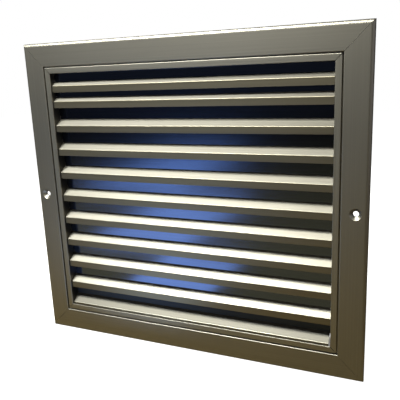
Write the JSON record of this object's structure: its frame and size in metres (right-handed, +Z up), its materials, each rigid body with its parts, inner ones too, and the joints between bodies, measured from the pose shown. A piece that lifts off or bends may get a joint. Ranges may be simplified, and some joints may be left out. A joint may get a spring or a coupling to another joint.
{
  "type": "framed louvre panel",
  "caption": "Framed louvre panel for an opening: mitred bronze surround with a countersunk screw hole each side, recessed inner frame and Z-shaped blades.",
  "frame": {"origin": "middle of the mounting plane, where the flange's back meets the wall, midway between the two screw holes", "axes": "+Z up, -Y out of the front, +X to the right as seen from the front"},
  "size_m": [0.35, 0.0214, 0.316],
  "materials": {
    "bronze_finish": "satin",
    "rivet_metal": "satin"
  },
  "bodies": {
    "root": {"outer_frame_top": "bronze_finish", "outer_frame_bottom": "bronze_finish", "outer_frame_left": "bronze_finish", "outer_frame_right": "bronze_finish", "core_frame_top": "bronze_finish", "core_frame_bottom": "bronze_finish", "core_frame_left": "bronze_finish", "core_frame_right": "bronze_finish", "corner_angle_top_left": "bronze_finish", "corner_angle_top_right": "bronze_finish", "corner_angle_bottom_left": "bronze_finish", "corner_angle_bottom_right": "bronze_finish", "blade_01": "bronze_finish", "blade_02": "bronze_finish", "blade_03": "bronze_finish", "blade_04": "bronze_finish", "blade_05": "bronze_finish", "blade_06": "bronze_finish", "blade_07": "bronze_finish", "blade_08": "bronze_finish", "blade_09": "bronze_finish", "blade_10": "bronze_finish", "blade_11": "bronze_finish", "core_rivets": "rivet_metal"}
  },
  "joints": []
}
